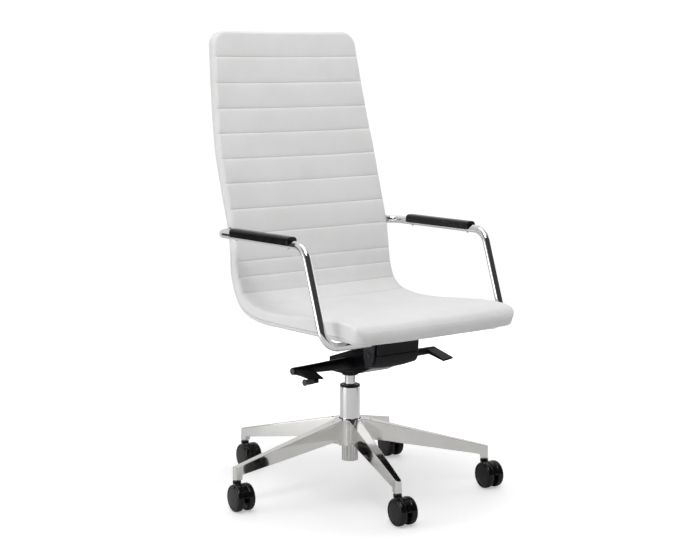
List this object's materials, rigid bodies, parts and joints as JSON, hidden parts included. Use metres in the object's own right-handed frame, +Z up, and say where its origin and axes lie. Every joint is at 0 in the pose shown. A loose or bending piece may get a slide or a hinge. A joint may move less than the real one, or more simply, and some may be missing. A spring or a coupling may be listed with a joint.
{
  "type": "swivel office chair",
  "caption": "High-back swivel office chair with a one-piece stitched leather shell, tubular chrome armrests, gas-lift column, knee-tilt mechanism and polished star base on twin-wheel castors.",
  "frame": {"origin": "on the floor, at the centre of the chair's bounding box", "axes": "+Z up, the chair faces -Y, the sitter's left is +X"},
  "size_m": [0.6749, 0.7191, 1.1459],
  "materials": {
    "leather": "smooth white leather with fine grain and stitched channels",
    "plywood": "moulded plywood, unfinished edge",
    "chrome": "mirror chrome plate",
    "polished_aluminium": "polished die casting",
    "steel": "zinc-plated steel",
    "black_metal": "black powder coat",
    "lever_plastic": "moulded black plastic",
    "arm_pad_plastic": "satin black moulded plastic",
    "castor_plastic": "black nylon"
  },
  "bodies": {
    "base": {"star_base": "polished_aluminium", "column_tube": "chrome", "column_guide": "lever_plastic", "thrust_bearing": "steel", "caster_stem_1": "steel", "caster_stem_2": "steel", "caster_stem_3": "steel", "caster_stem_4": "steel", "caster_stem_5": "steel"},
    "caster_1": {"caster_hood_1": "castor_plastic", "caster_axle_1": "steel"},
    "wheel_left_1": {"caster_wheel_left_1": "castor_plastic"},
    "wheel_right_1": {"caster_wheel_right_1": "castor_plastic"},
    "caster_2": {"caster_hood_2": "castor_plastic", "caster_axle_2": "steel"},
    "wheel_left_2": {"caster_wheel_left_2": "castor_plastic"},
    "wheel_right_2": {"caster_wheel_right_2": "castor_plastic"},
    "caster_3": {"caster_hood_3": "castor_plastic", "caster_axle_3": "steel"},
    "wheel_left_3": {"caster_wheel_left_3": "castor_plastic"},
    "wheel_right_3": {"caster_wheel_right_3": "castor_plastic"},
    "caster_4": {"caster_hood_4": "castor_plastic", "caster_axle_4": "steel"},
    "wheel_left_4": {"caster_wheel_left_4": "castor_plastic"},
    "wheel_right_4": {"caster_wheel_right_4": "castor_plastic"},
    "caster_5": {"caster_hood_5": "castor_plastic", "caster_axle_5": "steel"},
    "wheel_left_5": {"caster_wheel_left_5": "castor_plastic"},
    "wheel_right_5": {"caster_wheel_right_5": "castor_plastic"},
    "rod": {"piston_rod": "steel", "rod_clip": "steel"},
    "mechanism": {"gas_cylinder": "chrome", "mechanism_housing": "black_metal", "pivot_housing": "black_metal", "tilt_spring": "steel"},
    "height_paddle": {"height_lever": "lever_plastic", "lever_cap": "lever_plastic"},
    "knob": {"tension_knob": "lever_plastic"},
    "valve": {"valve_button": "steel"},
    "lock_paddle": {"tilt_lock_lever": "lever_plastic"},
    "seat": {"seat_carrier": "black_metal", "tilt_pin": "steel", "shell_core": "plywood", "front_upholstery": "leather", "rear_upholstery": "leather", "arm_frame_left": "chrome", "arm_pad_left": "arm_pad_plastic", "arm_stud_left": "steel", "pad_screw_left_1": "steel", "pad_screw_left_2": "steel", "arm_frame_right": "chrome", "arm_pad_right": "arm_pad_plastic", "arm_stud_right": "steel", "pad_screw_right_1": "steel", "pad_screw_right_2": "steel", "carrier_bolt_1": "steel", "carrier_bolt_2": "steel", "carrier_bolt_3": "steel", "carrier_bolt_4": "steel"}
  },
  "joints": [
    {"name": "seat_swivel", "type": "hinge", "parent": "base", "child": "rod", "pos_m": [0.033, 0.019, 0.2], "axis": [0, 0, 1], "continuous": true},
    {"name": "seat_height", "type": "slide", "parent": "rod", "child": "mechanism", "axis": [0, 0, 1], "range_m": [0, 0.095]},
    {"name": "seat_tilt", "type": "hinge", "parent": "mechanism", "child": "seat", "pos_m": [0.033, -0.142, 0.3665], "axis": [-1, 0, 0], "range_deg": [0, 15], "stiffness_Nm_per_rad": 300, "springref_deg": -17.19},
    {"name": "height_lever_turn", "type": "hinge", "parent": "mechanism", "child": "height_paddle", "pos_m": [0.033, -0.041, 0.333], "axis": [-1, 0, 0], "range_deg": [0, 3.5], "stiffness_Nm_per_rad": 2, "springref_deg": -11.46},
    {"name": "valve_press", "type": "slide", "parent": "mechanism", "child": "valve", "axis": [0, 0, -1], "range_m": [0, 0.004]},
    {"name": "tension_knob_turn", "type": "hinge", "parent": "height_paddle", "child": "knob", "pos_m": [-0.1838, -0.0975, 0.3155], "axis": [-1, 0, 0], "continuous": true},
    {"name": "tilt_lock_turn", "type": "hinge", "parent": "mechanism", "child": "lock_paddle", "pos_m": [0.033, -0.041, 0.333], "axis": [-1, 0, 0], "range_deg": [0, 20]},
    {"name": "caster_swivel_1", "type": "hinge", "parent": "base", "child": "caster_1", "pos_m": [-0.08083, -0.30244, 0.06], "axis": [0, 0, 1], "continuous": true},
    {"name": "wheel_left_spin_1", "type": "hinge", "parent": "caster_1", "child": "wheel_left_1", "pos_m": [-0.08355, -0.32427, 0.03321], "axis": [0.9923, -0.1236, 0], "continuous": true},
    {"name": "wheel_right_spin_1", "type": "hinge", "parent": "caster_1", "child": "wheel_right_1", "pos_m": [-0.08355, -0.32427, 0.03321], "axis": [0.9923, -0.1236, 0], "continuous": true},
    {"name": "caster_swivel_2", "type": "hinge", "parent": "base", "child": "caster_2", "pos_m": [0.30353, -0.18859, 0.06], "axis": [0, 0, 1], "continuous": true},
    {"name": "wheel_left_spin_2", "type": "hinge", "parent": "caster_2", "child": "wheel_left_2", "pos_m": [0.30081, -0.21042, 0.03321], "axis": [0.9923, -0.1236, 0], "continuous": true},
    {"name": "wheel_right_spin_2", "type": "hinge", "parent": "caster_2", "child": "wheel_right_2", "pos_m": [0.30081, -0.21042, 0.03321], "axis": [0.9923, -0.1236, 0], "continuous": true},
    {"name": "caster_swivel_3", "type": "hinge", "parent": "base", "child": "caster_3", "pos_m": [0.31403, 0.21215, 0.06], "axis": [0, 0, 1], "continuous": true},
    {"name": "wheel_left_spin_3", "type": "hinge", "parent": "caster_3", "child": "wheel_left_3", "pos_m": [0.31131, 0.19031, 0.03321], "axis": [0.9923, -0.1236, 0], "continuous": true},
    {"name": "wheel_right_spin_3", "type": "hinge", "parent": "caster_3", "child": "wheel_right_3", "pos_m": [0.31131, 0.19031, 0.03321], "axis": [0.9923, -0.1236, 0], "continuous": true},
    {"name": "caster_swivel_4", "type": "hinge", "parent": "base", "child": "caster_4", "pos_m": [-0.06385, 0.34596, 0.06], "axis": [0, 0, 1], "continuous": true},
    {"name": "wheel_left_spin_4", "type": "hinge", "parent": "caster_4", "child": "wheel_left_4", "pos_m": [-0.06657, 0.32413, 0.03321], "axis": [0.9923, -0.1236, 0], "continuous": true},
    {"name": "wheel_right_spin_4", "type": "hinge", "parent": "caster_4", "child": "wheel_right_4", "pos_m": [-0.06657, 0.32413, 0.03321], "axis": [0.9923, -0.1236, 0], "continuous": true},
    {"name": "caster_swivel_5", "type": "hinge", "parent": "base", "child": "caster_5", "pos_m": [-0.30788, 0.02793, 0.06], "axis": [0, 0, 1], "continuous": true},
    {"name": "wheel_left_spin_5", "type": "hinge", "parent": "caster_5", "child": "wheel_left_5", "pos_m": [-0.3106, 0.00609, 0.03321], "axis": [0.9923, -0.1236, 0], "continuous": true},
    {"name": "wheel_right_spin_5", "type": "hinge", "parent": "caster_5", "child": "wheel_right_5", "pos_m": [-0.3106, 0.00609, 0.03321], "axis": [0.9923, -0.1236, 0], "continuous": true}
  ],
  "couplings": [
    {"joint": "valve_press", "follows": "height_lever_turn", "m_per_rad": 0.0602}
  ]
}
